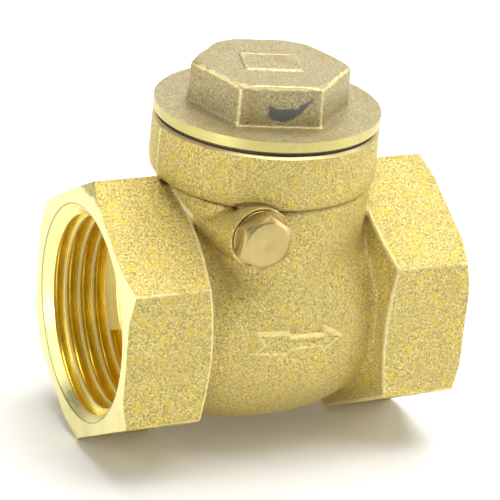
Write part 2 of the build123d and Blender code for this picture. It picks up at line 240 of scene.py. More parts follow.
def field_mesh(name, field, low, high, step, material):
    """A closed mesh where field(x, y, z) is zero, by surface nets, then drawn onto the zero surface."""
    axes = [np.arange(a, b + step, step) for a, b in zip(low, high)]
    grid = np.meshgrid(*axes, indexing="ij", sparse=True)
    values = np.broadcast_to(field(*grid), [len(a) for a in axes])
    inside = values < 0
    corners = [(i, j, k) for i in (0, 1) for j in (0, 1) for k in (0, 1)]
    shape = [n - 1 for n in values.shape]
    count = np.zeros(shape, np.uint8)
    for i, j, k in corners:
        count += inside[i : i + shape[0], j : j + shape[1], k : k + shape[2]]
    active = (count > 0) & (count < 8)
    cells = np.argwhere(active)
    index = np.full(shape, -1, np.int32)
    index[active] = np.arange(len(cells))
    total = np.zeros((len(cells), 3))
    hits = np.zeros(len(cells))
    units = np.eye(3, dtype=int)
    for axis in range(3):
        for corner in (c for c in corners if not c[axis]):
            a = cells + np.array(corner)
            b = a + units[axis]
            fa, fb = values[tuple(a.T)], values[tuple(b.T)]
            cross = (fa < 0) != (fb < 0)
            t = fa[cross] / (fa[cross] - fb[cross])
            total[cross] += a[cross] + t[:, None] * units[axis]
            hits[cross] += 1
    verts = np.array(low) + total / hits[:, None] * step
    faces = []
    for axis in range(3):
        u, v = units[(axis + 1) % 3], units[(axis + 2) % 3]
        near, far = [slice(None)] * 3, [slice(None)] * 3
        near[axis], far[axis] = slice(0, -1), slice(1, None)
        edges = np.argwhere(inside[tuple(near)] != inside[tuple(far)])
        ring = np.stack([index[tuple((edges - s).T)] for s in (u + v, v, 0 * u, u)], axis=1)
        backwards = ~inside[tuple(edges.T)]
        ring[backwards] = ring[backwards, ::-1]
        faces.append(ring)
    faces = np.concatenate(faces)
    return mesh_object(name, evened(verts, faces, field), faces.tolist(), material)


def evened(verts, faces, field):
    """Spreads points evenly: towards the middle of their neighbours, then back onto the surface."""
    sides = np.concatenate([faces[:, [k, (k + 1) % 4]] for k in range(4)])
    one, other = np.concatenate([sides, sides[:, ::-1]]).T
    count = np.bincount(one, minlength=len(verts))[:, None]
    for _ in range(2):
        for _ in range(2):
            sums = [np.bincount(one, weights=verts[other, i], minlength=len(verts)) for i in range(3)]
            verts = 0.5 * verts + 0.5 * np.stack(sums, axis=1) / count
        verts = onto_field(verts, field)
    return verts


def onto_field(verts, field, reach=0.25):
    """Moves points onto the field's zero surface along its slope."""
    nudge = 0.01
    for _ in range(3):
        at = verts.T
        rises = [field(*(at + step)) - field(*(at - step)) for step in nudge * np.eye(3)[:, :, None]]
        slope = np.stack(rises, axis=1) / (2 * nudge)
        steep = np.maximum((slope**2).sum(axis=1), 0.2)
        move = -(field(*at) / steep)[:, None] * slope
        length = np.linalg.norm(move, axis=1, keepdims=True)
        verts = verts + move * np.minimum(1.0, reach / np.maximum(length, 1e-9))
    return verts


AXIS_TURN = {
    "X": Matrix(((0, 0, 1), (1, 0, 0), (0, 1, 0))),
    "Y": Matrix(((0, 1, 0), (0, 0, 1), (1, 0, 0))),
    "Z": Matrix.Identity(3),
}


def place(points, axis, centre):
    """Points made about Z, turned to lie about another axis through centre."""
    turn = np.array(AXIS_TURN[axis])
    return np.asarray(points) @ turn.T + np.asarray(centre, dtype=float)


def capped(*points):
    """A lathe outline that closes on the axis at both ends."""
    return [(points[0][0], 0), *points, (points[-1][0], 0)]


def lathe(name, outline, axis, material, centre=(0, 0, 0), segments=192):
    """A closed solid turned from (distance along the axis, radius) points.

    The outline starts and ends on the axis, or closes on itself as the section of a ring."""
    is_ring = outline[0][1] > 0
    turned = outline if is_ring else outline[1:-1]
    angles = np.linspace(0, 2 * math.pi, segments, endpoint=False)
    points = [(r * math.cos(a), r * math.sin(a), along) for along, r in turned for a in angles]
    faces = []
    for row in range(len(turned) if is_ring else len(turned) - 1):
        a, b = row * segments, (row + 1) % len(turned) * segments
        for i in range(segments):
            j = (i + 1) % segments
            faces.append((a + i, a + j, b + j, b + i))
    if not is_ring:
        foot, head = len(points), len(points) + 1
        points += [(0, 0, outline[0][0]), (0, 0, outline[-1][0])]
        top = (len(turned) - 1) * segments
        for i in range(segments):
            j = (i + 1) % segments
            faces += [(foot, j, i), (head, top + i, top + j)]
    piece = mesh_object(name, place(points, axis, centre), faces, material)
    return face_outwards(piece)


def face_outwards(piece):
    """Turns a closed mesh's faces outwards."""
    edit = bmesh.new()
    edit.from_mesh(piece.data)
    bmesh.ops.recalc_face_normals(edit, faces=edit.faces)
    edit.to_mesh(piece.data)
    edit.free()
    return piece


def thread_rib(name, section, pitch, start, end, axis, material, phase=0.0, fade=0.0, per_turn=144,
               centre=(0, 0, 0)):
    """A closed right-hand rib whose section is (offset along the axis, radius) points.

    Over the first `fade` turns the rib sinks to the section's first radius."""
    turns = (end - start) / pitch
    count = int(turns * per_turn)
    points = []
    floor = min(radius for _, radius in section) - 0.05
    for step in range(count + 1):
        turn = step / per_turn
        depth = min(1.0, turn / fade) if fade else 1.0
        angle = phase + 2 * math.pi * turn
        along = start + pitch * turn
        for offset, radius in section:
            r = floor + (radius - floor) * depth
            points.append((r * math.cos(angle), r * math.sin(angle), along + offset))
    size = len(section)
    faces = [tuple(range(size)), tuple(range(count * size, (count + 1) * size))[::-1]]
    for step in range(count):
        for k in range(size):
            a, b = step * size + k, step * size + (k + 1) % size
            faces.append((a, b, b + size, a + size))
    piece = mesh_object(name, place(points, axis, centre), faces, material)
    return face_outwards(piece)


def join_shapes(target, operation, *others):
    """Adds or cuts other solids, and takes their materials over to the faces they make."""
    for other in others:
        change = target.modifiers.new("shape", "BOOLEAN")
        change.operation, change.object = operation, other
        change.solver, change.material_mode = "MANIFOLD", "TRANSFER"
        apply_modifiers(target)
        bpy.data.objects.remove(other)
    return target


def cut(target, *others):
    return join_shapes(target, "DIFFERENCE", *others)


def add(target, *others):
    return join_shapes(target, "UNION", *others)


def apply_modifiers(piece):
    """Replaces a piece's mesh by the one its modifiers make."""
    graph = bpy.context.evaluated_depsgraph_get()
    graph.update()
    mesh = bpy.data.meshes.new_from_object(piece.evaluated_get(graph))
    old = piece.data
    piece.modifiers.clear()
    piece.data = mesh
    bpy.data.meshes.remove(old)
    return piece


# ---------------------------------------------------------------- materials


def node_sum(operation):
    """A method that makes a Math node of a number and perhaps another one."""
    return lambda self, other=None: self.shade.math(operation, self, other)


class Number:
    """A number that a node gives out. Sums with it make Math nodes."""

    def __init__(self, shade, socket):
        self.shade, self.socket = shade, socket

    __add__, __sub__ = node_sum("ADD"), node_sum("SUBTRACT")
    __mul__, __truediv__ = node_sum("MULTIPLY"), node_sum("DIVIDE")
    __abs__, root, sine = node_sum("ABSOLUTE"), node_sum("SQRT"), node_sum("SINE")
    most, least = node_sum("MAXIMUM"), node_sum("MINIMUM")

    def __rsub__(self, other):
        return self.shade.math("SUBTRACT", other, self)

    def ramp(self, low, high, bottom=0.0, top=1.0, smooth=True):
        """This number mapped from low..high to bottom..top."""
        kind = "SMOOTHSTEP" if smooth else "LINEAR"
        inputs = dict(enumerate((self, low, high, bottom, top)))
        return self.shade.node("ShaderNodeMapRange", inputs, 0, interpolation_type=kind)


class Shade:
    """A principled material, with short calls for its nodes. Lengths are millimetres."""

    def __init__(self, name, colour, metallic, roughness):
        self.material = bpy.data.materials.new(name)
        self.material.use_nodes = True
        self.tree = self.material.node_tree
        self.shader = self.tree.nodes["Principled BSDF"]
        self.set("Base Color", colour)
        self.set("Metallic", metallic)
        self.set("Roughness", roughness)
        self.coords = self.node("ShaderNodeTexCoord", {}, "Object")
        self.parts = self.split(self.coords)

    def node(self, kind, inputs, output, **settings):
        """One output of a new node."""
        made = self.tree.nodes.new(kind)
        for key, value in settings.items():
            setattr(made, key, value)
        for socket, value in inputs.items():
            self.plug(made.inputs[socket], value)
        return Number(self, made.outputs[output])

    def plug(self, socket, value):
        """Links a node's output to a socket, or sets the socket to a constant."""
        if isinstance(value, Number):
            self.tree.links.new(value.socket, socket)
        elif value is not None:
            socket.default_value = (*value, 1.0) if socket.type == "RGBA" else value

    def set(self, socket, value):
        self.plug(self.shader.inputs[socket], value)

    def made(self, colour, roughness, normal):
        """The material, once its colour, roughness and normal are in."""
        self.set("Base Color", colour)
        self.set("Roughness", roughness)
        self.set("Normal", normal)
        return self.material

    def noise(self, size, detail=2.0, rough=0.5, coords=None, distortion=0.0):
        """Noise from 0 to 1 whose features are about `size` mm across."""
        inputs = {"Vector": coords or self.coords, "Scale": 1 / (size * MM), "Detail": detail,
                  "Roughness": rough, "Distortion": distortion}
        return self.node("ShaderNodeTexNoise", inputs, "Fac")

    def cells(self, size):
        """Distance within cells about `size` mm across."""
        inputs = {"Vector": self.coords, "Scale": 1 / (size * MM)}
        return self.node("ShaderNodeTexVoronoi", inputs, "Distance")

    def math(self, operation, a, b=None):
        return self.node("ShaderNodeMath", {0: a, 1: b}, 0, operation=operation)

    def mix(self, colour, *layers):
        """A colour with (amount, colour) layers over it."""
        for amount, over in layers:
            colour = self.node("ShaderNodeMix", {0: amount, 6: colour, 7: over}, 2, data_type="RGBA")
        return colour

    def split(self, vector):
        """A vector's three numbers, in millimetres."""
        grown = self.node("ShaderNodeVectorMath", {"Vector": vector, "Scale": 1 / MM}, 0, operation="SCALE")
        return [self.node("ShaderNodeSeparateXYZ", {0: grown}, i) for i in range(3)]

    def stretched(self, by):
        return self.node("ShaderNodeMapping", {"Vector": self.coords, "Scale": by}, 0)

    def radius(self, axis, centre=(0, 0, 0)):
        """Distance from an axis through centre."""
        one, other = (part - at for part, at, name in zip(self.parts, centre, "XYZ") if name != axis)
        return (one * one + other * other).root()

    def rings(self, axis, centre=(0, 0, 0)):
        """Coordinates that run only outwards and along an axis, so that a noise makes rings."""
        inputs = {0: self.radius(axis, centre) * (6 * MM), 1: self.parts["XYZ".index(axis)] * (6 * MM)}
        return self.node("ShaderNodeCombineXYZ", inputs, 0)

    def pointiness(self):
        return self.node("ShaderNodeNewGeometry", {}, "Pointiness")

    def bump(self, height, depth, normal=None):
        """A bump `depth` mm deep where height goes from 0 to 1."""
        return self.node("ShaderNodeBump", {"Height": height, "Distance": depth * MM, "Normal": normal}, 0)


def scaled(colour, factor):
    """A colour made lighter or darker."""
    return tuple(min(1.0, part * factor) for part in colour)


def blasted_brass(name="blasted_brass", worn=0.0):
    """The shot-blasted skin: fine grains, darker pits, yellow patches, painted edge highlights and painted
    shade.
    """
    shade = Shade(name, (0.66, 0.52, 0.20), 0.85, 0.5)
    grains = shade.noise(0.30, 3.0, 0.7, distortion=0.6)
    pits = shade.noise(0.50, 2.0, 0.6)
    patches = shade.noise(7.0, 3.0, 0.55)
    yellow = shade.noise(1.7, 4.0, 0.7)
    colour = shade.mix(
        (0.38, 0.285, 0.07),
        (grains.ramp(0.32, 0.68), (0.90, 0.76, 0.30)),
        (yellow.ramp(0.50, 0.68, 0.0, 0.75), (0.80, 0.61, 0.06)),
        (patches.ramp(0.35, 0.7, 0.0, 0.35), (0.54, 0.43, 0.17)),
        (pits.ramp(0.62, 0.76, 0.0, 0.6), (0.16, 0.11, 0.035)),
        (hexagon_edge_highlights(shade), (0.95, 0.85, 0.44)),
        # painted shade: darker where the skin curves inwards, in hollows and creases
        (shade.pointiness().ramp(0.488, 0.42, 0.0, 0.8), (0.22, 0.155, 0.07)),
        (boss_step_painted_shade(shade), (0.15, 0.10, 0.045)),
        (edge_and_seam_highlight(shade), (0.97, 0.89, 0.52)),
        (worn, (0.97, 0.87, 0.45)),
    )
    coarse = shade.bump(shade.cells(0.42).ramp(0.0, 0.6), 0.04, shade.bump(grains, 0.16))
    return shade.made(colour, grains.ramp(0.3, 0.7, 0.62, 0.38), shade.bump(pits, 0.10, coarse))


def hexagon_distance(shade):
    """Distance past the pipe ends' flats, and the reach towards upright and slanted ones."""
    wide, high = abs(shade.parts[1]), abs(shade.parts[2])
    slanted = wide * 0.5 + high * math.sqrt(0.75)
    return wide.most(slanted) - HEX_FLAT, wide, slanted


def hexagon_edge_highlights(shade):
    """Painted highlights on the corners between the pipe ends' flats, patchily bright."""
    flat, wide, slanted = hexagon_distance(shade)
    side = abs(wide - slanted).ramp(0.10, 0.32, 1.0, 0.0)
    top = wide.ramp(0.10, 0.28, 1.0, 0.0) * abs(shade.parts[2]).ramp(21.0, 21.4)
    on_hexagon = abs(flat).ramp(0.5, 0.7, 1.0, 0.0) * abs(shade.parts[0]).ramp(15.0, 15.6)
    patchy = shade.noise(3.0, 3.0).ramp(0.35, 0.6, 0.15, 0.8)
    return side.most(top) * on_hexagon * patchy


def boss_step_painted_shade(shade):
    """Painted shade in the step under the boss, more of it towards the inlet, and in the crease over the
    plug's lug.
    """
    x, y, z = shade.parts
    off = abs(z - (BOSS_FOOT_Z - 0.38)) + shade.noise(0.8).ramp(0.3, 0.7, -0.08, 0.08)
    neck = shade.radius("Z").ramp(17.5, 17.8, 1.0, 0.0)
    step = off.ramp(0.20, 0.46, 1.0, 0.0) * neck * x.ramp(-10, 1, 0.85, 0.45)
    from_lug = shade.radius("Y", PIN_AT) - (LUG_R - 0.3)
    crease = abs(from_lug).ramp(0.2, 0.5, 0.85, 0.0) * z.ramp(20.6, 21.4)
    wall = shade.radius("Z").ramp(17.8, 18.2, 1.0, 0.0) * y.ramp(-14, -13, 1.0, 0.0)
    return step.most(crease * wall)


def edge_and_seam_highlight(shade):
    """Painted highlight: a thin bright line along each hexagon's inner edge and along the boss's parting
    line.
    """
    x, y, z = shade.parts
    inner = HEX_INNER_X - (HEX_R - shade.radius("X")) * HEX_INNER_SLOPE
    off = abs(abs(x) - inner) / z.ramp(9, 16, 1.0, 2.0)
    near = abs(hexagon_distance(shade)[0]).ramp(0.35, 0.60, 1.0, 0.0)
    hexes = off.ramp(0.12, 0.30, 0.8, 0.0) * near * x.ramp(0.0, 10, 1.0, 0.6)
    seam = abs(y).ramp(0.10, 0.24, 0.8, 0.0) * z.ramp(BOSS_FOOT_Z, BOSS_FOOT_Z + 1)
    return hexes.most(seam)


def machined_brass(name, axis, centre=(0, 0, 0), colour=(0.8, 0.7, 0.4), roughness=0.3, pitch=0.12,
                   extra=None):
    """Cut brass with tool marks in rings round an axis; `extra` paints over its colour."""
    shade = Shade(name, colour, 0.9, roughness)
    spiral = shade.radius(axis, centre) + shade.parts["XYZ".index(axis)]
    ridges = (spiral * (2 * math.pi / pitch)).sine()
    bands = shade.noise(1.0, 2.0, 0.5, coords=shade.rings(axis, centre))
    stain = shade.noise(5.0, 3.0, 0.6)
    worn = shade.mix(colour, (stain.ramp(0.42, 0.75, 0.0, 0.45), scaled(colour, 0.72)),
                     (bands.ramp(0.35, 0.75, 0.0, 0.35), scaled(colour, 1.12)))
    if extra:
        worn = extra(shade, worn)
    marks = shade.bump(ridges.ramp(-1.0, 1.0), 0.004)
    return shade.made(worn, bands.ramp(0.25, 0.75, roughness * 0.75, roughness * 1.35),
                      shade.bump(shade.noise(0.6, 2.0), 0.012, marks))


def mouth_smear_and_edge_shade(shade, colour):
    """The dark line round each mouth, a painted shade at its outer edge, and a grey smear low in the inlet's.
    """
    x, y, z = shade.parts
    # painted shade: a thin dark ring at the mouth's outer edge
    line = abs(shade.radius("X") - (MOUTH_R - 0.02)).ramp(0.05, 0.16, 0.85, 0.0)
    across, up = (y - SMEAR_AT[1]) * 0.33, z - SMEAR_AT[2]
    ragged = (across * across + up * up).root() + shade.noise(0.8, 3.0).ramp(0.3, 0.7, -0.35, 0.35)
    inlet = ((x - SMEAR_AT[0]) * 0.4).ramp(4.0, 5.0, 1.0, 0.0)
    smear = ragged.ramp(0.4, 1.1, 0.55, 0.0) * inlet
    return shade.mix(colour, (smear, (0.42, 0.40, 0.28)), (line, (0.30, 0.25, 0.10)))


def black_corner(shade, colour):
    """The topmost corner of each end, where the facing cut left the blasted skin."""
    left = (shade.parts[2] + shade.noise(1.5).ramp(0.3, 0.7, -0.3, 0.3)).ramp(19.7, 20.2)
    grains = shade.mix((0.45, 0.36, 0.12), (shade.noise(0.35, 3.0).ramp(0.35, 0.65), (0.88, 0.78, 0.34)))
    return shade.mix(colour, (left * abs(shade.parts[0]).ramp(20, 21), grains))


def thread_brass():
    """The cut pipe thread: deep gold and glossy, with drag marks, stains and crests painted pale as a
    highlight.
    """
    shade = Shade("thread_brass", (0.90, 0.68, 0.16), 0.8, 0.25)
    streaks = shade.noise(1.2, 2.0, 0.6, coords=shade.rings("X"))
    # painted highlight: the crests are painted pale and made less metallic so that they show as bright lines
    crest = shade.radius("X").ramp(THREAD_MINOR_R + 0.03, THREAD_MINOR_R + 0.14, 0.9, 0.0)
    crest = crest * abs(shade.parts[0]).ramp(16.5, 16.7)
    shade.set("Metallic", crest.ramp(0.0, 0.9, 0.8, 0.35))
    colour = shade.mix((1.0, 0.80, 0.09), (shade.noise(4.0, 3.0, 0.6).ramp(0.35, 0.7), (0.92, 0.62, 0.03)),
                       (streaks.ramp(0.4, 0.7, 0.0, 0.5), (1.0, 0.88, 0.26)), (crest, (1.0, 0.95, 0.62)))
    return shade.made(colour, streaks.ramp(0.3, 0.7, 0.30, 0.14),
                      shade.bump(shade.noise(0.35, 3.0), 0.02, shade.bump(streaks, 0.02)))


def cast_brass(name, colour=(0.60, 0.48, 0.22)):
    """Plain cast brass: matt, with small lumps and dark pores."""
    shade = Shade(name, colour, 0.85, 0.5)
    lumps = shade.noise(0.9, 3.0, 0.6)
    pores = shade.noise(0.45, 2.0, 0.6)
    tone = shade.mix(scaled(colour, 0.55), (lumps.ramp(0.35, 0.7), scaled(colour, 1.25)),
                     (pores.ramp(0.6, 0.75, 0.0, 0.7), scaled(colour, 0.3)),
                     # painted highlight: lighter where the surface bulges, along its edges
                     (shade.pointiness().ramp(0.52, 0.62, 0.0, 0.6), scaled(colour, 1.25)))
    return shade.made(tone, lumps.ramp(0.3, 0.7, 0.6, 0.42), shade.bump(pores, 0.05, shade.bump(lumps, 0.12)))


def cap_brass():
    """The cap's skin: duller, greyer brass with brown stains, a bluish mark, painted edge highlights and
    painted shade in hollows.
    """
    shade = Shade("cap_brass", (0.56, 0.48, 0.27), 0.85, 0.48)
    grains = shade.noise(0.30, 3.0, 0.65, distortion=0.5)
    colour = shade.mix(
        (0.33, 0.27, 0.13),
        (grains.ramp(0.32, 0.68), (0.64, 0.56, 0.33)),
        (shade.noise(4.5, 4.0, 0.62).ramp(0.42, 0.72, 0.0, 0.6), (0.42, 0.32, 0.12)),
        (shade.noise(0.9, 2.0, 0.6).ramp(0.64, 0.76, 0.0, 0.7), (0.17, 0.13, 0.07)),
        # painted shade: darker where the skin curves inwards, in hollows and creases
        (shade.pointiness().ramp(0.485, 0.43, 0.0, 0.55), (0.26, 0.19, 0.10)),
        (cap_painted_highlights(shade), (0.96, 0.86, 0.42)),
        (blue_mark(shade), (0.13, 0.14, 0.16)),
    )
    soft = shade.bump(shade.noise(2.2, 2.0), 0.10, shade.bump(grains, 0.06))
    return shade.made(colour, grains.ramp(0.3, 0.7, 0.58, 0.38), soft)


def cap_painted_highlights(shade):
    """Painted highlights on the cap's edges: round its top, a little ragged, and down between its flats, and
    on the badge plate's top.
    """
    x, y, z = shade.parts
    angles = [CAP_HEX_TURN + math.radians(30 + 60 * k) for k in range(3)]
    a, b, c = (abs(x * math.cos(angle) + y * math.sin(angle)) for angle in angles)
    most = a.most(b).most(c)
    middle = a + b + c - most - a.least(b).least(c)
    ragged = shade.noise(1.4, 3.0).ramp(0.3, 0.7, -0.16, 0.16)
    rim = (most + ragged).ramp(10.62, 10.82) * (z + ragged).ramp(38.55, 38.8) * 0.8
    on_flats = most.ramp(10.6, 10.8) * most.ramp(11.3, 11.5, 1.0, 0.0)
    corner = (most - middle).ramp(0.05, 0.42, 0.4, 0.0) * on_flats
    plate = z.ramp(CAP_HEX_TOP_Z + 0.17, CAP_HEX_TOP_Z + 0.24, 0.0, 0.25)
    return rim.most(corner).most(plate)


def blue_mark(shade):
    """A heat stain on the cap's front flat: a crescent drawn out to the right."""
    inputs = {"Vector": shade.coords, "Angle": -MARK_FACING}
    x, y, z = shade.split(shade.node("ShaderNodeVectorRotate", inputs, 0, rotation_type="Z_AXIS"))
    across = x - MARK_ACROSS
    off = abs(z - MARK_UP - across * across * 0.13 + shade.noise(1.6, 3.0).ramp(0.3, 0.7, -0.22, 0.22))
    half = across.ramp(0.8, 5.0, 0.95, 0.25, smooth=False)
    ends = across.ramp(-2.3, -1.9) * across.ramp(3.6, 5.2, 1.0, 0.0)
    return (off - half).ramp(-0.25, 0.2, 0.9, 0.0) * ends * y.ramp(-10.5, -9.5, 1.0, 0.0)


def copper():
    """The plug's sealing ring, turned and reflective."""
    return machined_brass("copper_ring", "Y", PIN_AT, (0.50, 0.34, 0.12), 0.2, 0.1)


def fibre():
    """The bonnet gasket: dark compressed fibre, with flecks."""
    shade = Shade("gasket_fibre", (0.06, 0.045, 0.03), 0.0, 0.8)
    flecks = shade.noise(0.3, 3.0, 0.7, coords=shade.stretched((1, 1, 3)))
    colour = shade.mix((0.05, 0.036, 0.022), (flecks.ramp(0.45, 0.7), (0.17, 0.12, 0.07)))
    return shade.made(colour, flecks.ramp(0.3, 0.7, 0.9, 0.65), shade.bump(flecks, 0.06))


def rubber():
    """Moulded nitrile: nearly black, satin, with a slight bloom."""
    shade = Shade("seat_rubber", (0.018, 0.018, 0.019), 0.0, 0.5)
    bloom = shade.noise(2.5, 3.0, 0.6)
    colour = shade.mix((0.014, 0.014, 0.015), (bloom.ramp(0.45, 0.75), (0.05, 0.05, 0.052)))
    return shade.made(colour, bloom.ramp(0.3, 0.7, 0.42, 0.62), shade.bump(shade.noise(0.25, 2.0), 0.015))


def steel():
    """The ground hinge pin."""
    shade = Shade("pin_steel", (0.62, 0.62, 0.63), 1.0, 0.28)
    lines = shade.noise(0.4, 2.0, 0.6, coords=shade.stretched((0.1, 12, 0.1)))
    colour = shade.mix((0.52, 0.52, 0.53), (lines.ramp(0.35, 0.7), (0.72, 0.72, 0.72)))
    return shade.made(colour, lines.ramp(0.3, 0.7, 0.38, 0.2), shade.bump(lines, 0.004))


def floor_paint():
    """A plain pale studio surface."""
    shade = Shade("studio_floor", (0.94, 0.94, 0.93), 0.0, 0.85)
    shade.set("Roughness", shade.noise(30.0).ramp(0.3, 0.7, 0.8, 0.9))
    return shade.material


# ---------------------------------------------------------------- valve body


def hexagon(y, z, flat):
    """Distance to a hexagon with a point up, its edges slightly rounded."""
    edge = 0.4
    slanted = np.abs(y) * 0.5 + np.abs(z) * (math.sqrt(3) / 2)
    return smooth_max(np.abs(y), slanted, edge) - flat


def boss_step(x, z):
    """The radius of the boss and of the neck below it, which is slimmer towards the inlet."""
    rise = np.clip((z - BOSS_FOOT_Z) / (BOSS_ROUND_Z - BOSS_FOOT_Z), 0, 1)
    foot = BOSS_FOOT_R + (BOSS_R - BOSS_FOOT_R) * np.sqrt(rise * (2 - rise))
    rim = (z - BOSS_ROUND_Z) / (BOSS_TOP_Z - BOSS_ROUND_Z)
    wall = BOSS_R + (BOSS_RIM_R - BOSS_R) * np.clip(rim, 0, 1)
    boss = np.where(z < BOSS_ROUND_Z, foot, wall)
    sharp = 0.25
    neck = NECK_R - NECK_SLIM * np.clip((-x - 2) / 10, 0, 1)
    groove = (0.2 + 0.2 * np.clip(-x / 8, 0, 1)) * np.exp(-(((z - BOSS_FOOT_Z + 0.45) / 0.34) ** 2))
    return neck - groove + (boss - neck + groove) * np.clip((z - BOSS_FOOT_Z) / sharp + 1, 0, 1)


def arrow_inside(x, z):
    """How far a point is inside the arrow's outline, negative outside."""
    distance = np.full(np.broadcast(x, z).shape, 1e9)
    inside = np.zeros(distance.shape, bool)
    for (ax, az), (bx, bz) in zip(ARROW_OUTLINE, ARROW_OUTLINE[1:] + ARROW_OUTLINE[:1]):
        dx, dz = bx - ax, bz - az
        along = np.clip(((x - ax) * dx + (z - az) * dz) / (dx**2 + dz**2), 0, 1)
        distance = np.minimum(distance, np.hypot(x - ax - along * dx, z - az - along * dz))
        at = ax + dx * (z - az) / (dz or 1.0)
        inside ^= ((az > z) != (bz > z)) & (x < at)
    return np.where(inside, distance, -distance)


def arrow_height(x, z):
    """The arrow's height above the barrel, from 0 to 1: a rim round a dished middle."""
    signed = arrow_inside(x, z)
    rim = np.clip(signed / 0.28 + 0.5, 0, 1)
    dished = 0.4 * np.clip((signed - 0.35) / 0.5, 0, 1)
    return rim * rim * (3 - 2 * rim) - dished


def wear_arrow(body, worn):
    """Gives the arrow's rim, which stands proud, a brighter material."""
    body.data.materials.append(worn)
    for face in body.data.polygons:
        x, y, z = face.center / MM
        if abs(x) < ARROW_REACH and y < -15 and -2 < z < 3.5 and -0.16 < arrow_inside(x, z) < 0.42:
            face.material_index = len(body.data.materials) - 1


def waviness(x, y, z, size, seed):
    """A gentle unevenness from -1 to 1 with lumps about `size` mm across."""
    turn = 2 * math.pi / size
    waves = (0.9, 0.4, -0.2, 1), (-0.3, 0.8, 0.5, 2.1), (0.2, -0.5, 0.9, 3.7)
    return sum(np.sin(turn * (a * x + b * y + c * z) + phase * seed) for a, b, c, phase in waves) / 3


def body_field(x, y, z, arrow=False):
    """The forging before machining: negative inside."""
    ax = np.abs(x)
    about_x, about_z = np.sqrt(y**2 + z**2), np.sqrt(x**2 + y**2)
    cone = (HEX_INNER_X - (HEX_R - about_x) * HEX_INNER_SLOPE - ax) / math.hypot(1, HEX_INNER_SLOPE)
    flats = hexagon(y, z, HEX_FLAT)
    hexes = smooth_max(flats, cone, 0.4) - 0.10 * np.exp(-((cone / 0.3) ** 2) - (flats / 0.5) ** 2)
    hexes = np.maximum(hexes, ax - BODY_HALF - STOCK_PAST)
    crown = BARREL_R - (BARREL_R - BARREL_SHOULDER_R) * (x / BARREL_SHOULDER_X) ** 2
    wall_slope = (BARREL_SHOULDER_R - VALLEY_R) / (VALLEY_X - BARREL_SHOULDER_X)
    wall = BARREL_SHOULDER_R - (ax - BARREL_SHOULDER_X) * wall_slope
    barrel_r = smooth_max(smooth_min(crown, wall, 0.6), VALLEY_R + 0 * x, 0.5)
    lean = 1 / np.sqrt(1 + ((np.clip(ax, 0, VALLEY_X)) / 30) ** 2)
    barrel = np.maximum((about_x - barrel_r) * lean, ax - HEX_INNER_X - 3)
    round_part = np.maximum(about_z - boss_step(x, z), np.maximum(z - BOSS_TOP_Z - STOCK_PAST, -z))
    globe = smooth_min(barrel, round_part, 1.3)
    lug_reach = np.clip(-y, 0, 30)
    flare = 0.12 - 0.35 * np.clip((z - PIN_Z) / 3, 0, 1)
    from_pin = np.hypot(x - PIN_X, z - PIN_Z)
    lug = from_pin - (LUG_R + (SPOT_FACE_FRONT - lug_reach) * flare)
    lug = smooth_max(lug, -y - SPOT_FACE_FRONT, 0.25)
    lug = np.maximum(lug, y)
    back = from_pin - BACK_LUG_R - (BACK_LUG_Y - np.clip(y, 0, 30)) * 0.12
    back = np.maximum(smooth_max(back, y - BACK_LUG_Y, 0.8), -y)
    whole = smooth_min(globe, hexes, 0.55)
    whole = smooth_min(whole, lug, 0.55)
    whole = smooth_min(whole, back, 0.8)
    seam = 0.16 * np.exp(-((y / 0.28) ** 2))
    whole = whole - seam - 0.035 * waviness(x, y, z, 5.5, 1.3) - 0.02 * waviness(x, y, z, 2.3, 4.1)
    if arrow:
        whole = whole - ARROW_HEIGHT * arrow_height(x, z) * (y < 0)
    return whole


def refine(piece, low, high, field):
    """Divides the faces inside a box more finely, and draws its points onto a more detailed field."""
    edit = bmesh.new()
    edit.from_mesh(piece.data)
    low, high = Vector(low), Vector(high)
    middles = [(f, f.calc_center_median() / MM) for f in edit.faces]
    inside = [f for f, m in middles if all(low[i] < m[i] < high[i] for i in range(3))]
    edges = {e for f in inside for e in f.edges}
    bmesh.ops.subdivide_edges(edit, edges=list(edges), cuts=2, use_grid_fill=True)
    bmesh.ops.triangulate(edit, faces=[f for f in edit.faces if len(f.verts) > 4])
    edit.to_mesh(piece.data)
    edit.free()
    points = vertices(piece)
    near = ((points > np.array(low) - 0.3) & (points < np.array(high) + 0.3)).all(axis=1)
    points[near] = onto_field(points[near], field, reach=0.5)
    return set_vertices(piece, points)


def set_vertices(piece, points):
    """Moves a piece's points to new places in millimetres."""
    piece.data.vertices.foreach_set("co", (points * MM).astype(np.float32).ravel())
    piece.data.update()
    return piece


def vertices(piece):
    """A piece's points in millimetres."""
    points = np.empty(len(piece.data.vertices) * 3, np.float32)
    piece.data.vertices.foreach_get("co", points)
    return points.reshape(-1, 3).astype(float) / MM


def face_cutter(side, material):
    """What the facing tool takes off one pipe end and its corners."""
    far = HEX_R + 2
    outline = capped((BODY_HALF, FACE_R), (BODY_HALF - (far - FACE_R) * FACE_CHAMFER_SLOPE, far),
                     (BODY_HALF + 3, far))
    return lathe(f"face_tool_{side}", mirrored(outline, side), "X", material)


def mirrored(outline, side):
    """An outline along X, kept or mirrored to the other end."""
    return outline if side > 0 else [(-along, radius) for along, radius in outline][::-1]


def bore_cutter(side, material):
    """The pipe end's bore at the thread's crests, with a relieved foot."""
    relief = 0.3
    outline = capped((SOCKET_STOP_X, THREAD_MINOR_R - relief), (SOCKET_STOP_X + relief, THREAD_MINOR_R),
                     (BODY_HALF + 2, THREAD_MINOR_R))
    return lathe(f"bore_tool_{side}", mirrored(outline, side), "X", material, segments=144)


def mouth_cutter(side, material):
    """The 45 degree mouth, with its outer edge just broken."""
    deep, broken = 1.2, 0.12
    inner_x = BODY_HALF - (MOUTH_R - THREAD_MINOR_R) - deep
    outline = capped((inner_x, THREAD_MINOR_R - deep), (BODY_HALF - broken, MOUTH_R - broken),
                     (BODY_HALF, MOUTH_R + 0.1), (BODY_HALF + 1, MOUTH_R + 0.4))
    return lathe(f"mouth_tool_{side}", mirrored(outline, side), "X", material)


